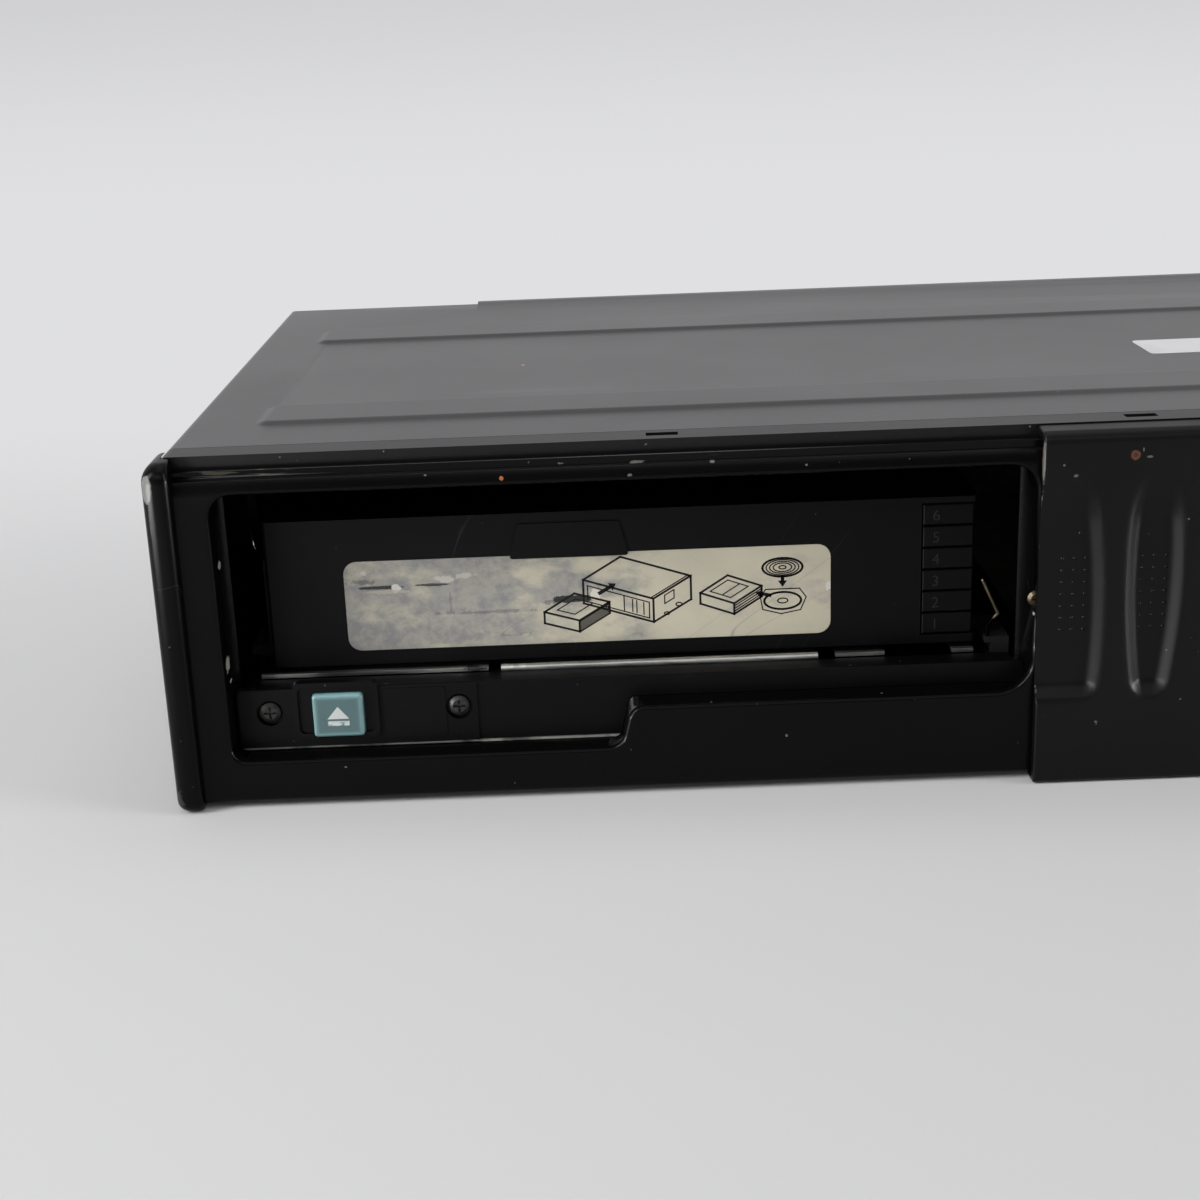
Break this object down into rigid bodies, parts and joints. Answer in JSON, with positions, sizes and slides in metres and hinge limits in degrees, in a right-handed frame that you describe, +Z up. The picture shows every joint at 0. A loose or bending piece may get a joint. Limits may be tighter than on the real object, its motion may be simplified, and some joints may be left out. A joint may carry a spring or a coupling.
{
  "type": "car cd changer",
  "caption": "Flat black disc changer with a sliding front door, a slide-out magazine of numbered trays and a lifting player deck.",
  "frame": {"origin": "middle of the flat underside that the unit stands on", "axes": "+X to the right along the width, seen from the front; +Y from the front door towards the rear; +Z up"},
  "size_m": [0.3312, 0.181, 0.0702],
  "materials": {
    "painted_steel": "fine-textured matt black stoving paint",
    "black_plastic": "satin to gloss moulded black plastic",
    "satin_plastic": "satin moulded black plastic",
    "button_plastic": "translucent blue-green plastic",
    "bright_steel": "bright rolled steel",
    "zinc_steel": "zinc-plated pressed steel",
    "black_screw": "blackened steel screws",
    "turned_steel": "turned steel",
    "brass_bush": "turned brass",
    "disc_face": "clear disc over a mirror layer",
    "lens_glass": "coated lens",
    "damper_rubber": "soft black rubber",
    "white_nylon": "natural acetal",
    "grey_plastic": "glass-filled grey plastic",
    "circuit_board": "green lacquered board"
  },
  "bodies": {
    "housing": {"bottom_chassis": "painted_steel", "top_cover": "painted_steel", "front_rail": "painted_steel", "front_fascia": "black_plastic", "left_end_cap": "black_plastic", "right_end_cap": "black_plastic", "gap_screw": "turned_steel", "button_panel": "satin_plastic", "button_panel_screws": "black_screw", "eject_button_spring": "turned_steel", "front_board": "circuit_board", "cover_screws": "black_screw", "mounting_bushes": "brass_bush", "magazine_floor_plate": "bright_steel", "magazine_guides": "satin_plastic", "latch_block": "satin_plastic", "latch_wire": "turned_steel", "mechanism_frame": "zinc_steel", "lift_motor": "turned_steel", "dampers": "damper_rubber", "guide_posts": "turned_steel", "main_board": "circuit_board", "rear_socket": "grey_plastic", "eject_bracket": "zinc_steel", "eject_spring": "turned_steel"},
    "door": {"sliding_door": "black_plastic"},
    "button": {"eject_button": "button_plastic"},
    "left_dial": {"left_angle_dial": "grey_plastic"},
    "right_dial": {"right_angle_dial": "grey_plastic"},
    "magazine": {"magazine_case": "satin_plastic", "magazine_lid": "satin_plastic", "magazine_screws": "black_screw"},
    "pusher": {"eject_pusher": "white_nylon"},
    "deck": {"deck_plate": "zinc_steel", "spindle_motor": "turned_steel", "guide_rods": "turned_steel", "feed_motor": "turned_steel"},
    "spindle": {"turntable": "grey_plastic"},
    "sled": {"pickup_sled": "grey_plastic", "objective_lens": "lens_glass"},
    "sled_screw": {"lead_screw": "turned_steel"},
    "clamp_arm": {"clamp_bridge": "zinc_steel"},
    "clamp_disc": {"clamper": "grey_plastic"},
    "front_cam": {"front_cam_plate": "zinc_steel"},
    "rear_cam": {"rear_cam_plate": "zinc_steel"},
    "lift_axle": {"lift_shaft": "white_nylon"},
    "worm": {"lift_worm": "white_nylon"},
    "tray_1_set": {"tray_1": "satin_plastic", "disc_1": "disc_face"},
    "tray_2_set": {"tray_2": "satin_plastic", "disc_2": "disc_face"},
    "tray_3_set": {"tray_3": "satin_plastic", "disc_3": "disc_face"},
    "tray_4_set": {"tray_4": "satin_plastic", "disc_4": "disc_face"},
    "tray_5_set": {"tray_5": "satin_plastic", "disc_5": "disc_face"},
    "tray_6_set": {"tray_6": "satin_plastic", "disc_6": "disc_face"}
  },
  "joints": [
    {"name": "door_slide", "type": "slide", "parent": "housing", "child": "door", "axis": [1, 0, 0], "range_m": [-0.1594, 0]},
    {"name": "eject_button_press", "type": "slide", "parent": "housing", "child": "button", "axis": [0, 1, 0], "range_m": [0, 0.0025], "stiffness_N_per_m": 600, "springref_m": -0.0005, "deforming": ["eject_button_spring"]},
    {"name": "left_dial_turn", "type": "hinge", "parent": "housing", "child": "left_dial", "pos_m": [-0.1603, 0.0028, 0.04], "axis": [-1, 0, 0], "range_deg": [0, 90]},
    {"name": "right_dial_turn", "type": "hinge", "parent": "housing", "child": "right_dial", "pos_m": [0.1603, 0.0028, 0.04], "axis": [-1, 0, 0], "range_deg": [0, 90]},
    {"name": "magazine_slide", "type": "slide", "parent": "housing", "child": "magazine", "axis": [0, -1, 0], "range_m": [0, 0.155]},
    {"name": "pusher_slide", "type": "slide", "parent": "housing", "child": "pusher", "axis": [0, -1, 0], "range_m": [0, 0.012], "deforming": ["eject_spring"]},
    {"name": "deck_lift", "type": "slide", "parent": "housing", "child": "deck", "axis": [0, 0, 1], "range_m": [0, 0.0255]},
    {"name": "spindle_spin", "type": "hinge", "parent": "deck", "child": "spindle", "pos_m": [0.05, -0.0062, 0.02], "axis": [0, 0, 1], "continuous": true},
    {"name": "sled_slide", "type": "slide", "parent": "deck", "child": "sled", "axis": [1, 0, 0], "range_m": [0, 0.034]},
    {"name": "sled_screw_spin", "type": "hinge", "parent": "deck", "child": "sled_screw", "pos_m": [0.1, 0.0168, 0.0182], "axis": [1, 0, 0], "range_deg": [-5, 2045]},
    {"name": "clamp_drop", "type": "slide", "parent": "housing", "child": "clamp_arm", "axis": [0, 0, 1], "range_m": [-0.02475, 0]},
    {"name": "clamp_spin", "type": "hinge", "parent": "clamp_arm", "child": "clamp_disc", "pos_m": [0.05, -0.0062, 0.056], "axis": [0, 0, 1], "continuous": true},
    {"name": "front_cam_slide", "type": "slide", "parent": "housing", "child": "front_cam", "axis": [1, 0, 0], "range_m": [0, 0.0256]},
    {"name": "rear_cam_slide", "type": "slide", "parent": "housing", "child": "rear_cam", "axis": [1, 0, 0], "range_m": [0, 0.0256]},
    {"name": "lift_axle_spin", "type": "hinge", "parent": "housing", "child": "lift_axle", "pos_m": [0.0744, -0.0072, 0.0078], "axis": [0, 1, 0], "range_deg": [-5, 353]},
    {"name": "worm_spin", "type": "hinge", "parent": "housing", "child": "worm", "pos_m": [0.0794, 0.0728, 0.0161], "axis": [1, 0, 0], "range_deg": [-5, 1744]},
    {"name": "tray_1_slide", "type": "slide", "parent": "magazine", "child": "tray_1_set", "axis": [1, 0, 0], "range_m": [0, 0.128]},
    {"name": "tray_2_slide", "type": "slide", "parent": "magazine", "child": "tray_2_set", "axis": [1, 0, 0], "range_m": [0, 0.128]},
    {"name": "tray_3_slide", "type": "slide", "parent": "magazine", "child": "tray_3_set", "axis": [1, 0, 0], "range_m": [0, 0.128]},
    {"name": "tray_4_slide", "type": "slide", "parent": "magazine", "child": "tray_4_set", "axis": [1, 0, 0], "range_m": [0, 0.128]},
    {"name": "tray_5_slide", "type": "slide", "parent": "magazine", "child": "tray_5_set", "axis": [1, 0, 0], "range_m": [0, 0.128]},
    {"name": "tray_6_slide", "type": "slide", "parent": "magazine", "child": "tray_6_set", "axis": [1, 0, 0], "range_m": [0, 0.128]}
  ],
  "couplings": [
    {"joint": "pusher_slide", "follows": "magazine_slide", "ratio": 0.077418},
    {"joint": "front_cam_slide", "follows": "deck_lift", "ratio": 1},
    {"joint": "rear_cam_slide", "follows": "deck_lift", "ratio": 1},
    {"joint": "lift_axle_spin", "follows": "deck_lift", "rad_per_m": 238.09},
    {"joint": "worm_spin", "follows": "deck_lift", "rad_per_m": 1190.5},
    {"joint": "sled_screw_spin", "follows": "sled_slide", "rad_per_m": 1047.2}
  ]
}
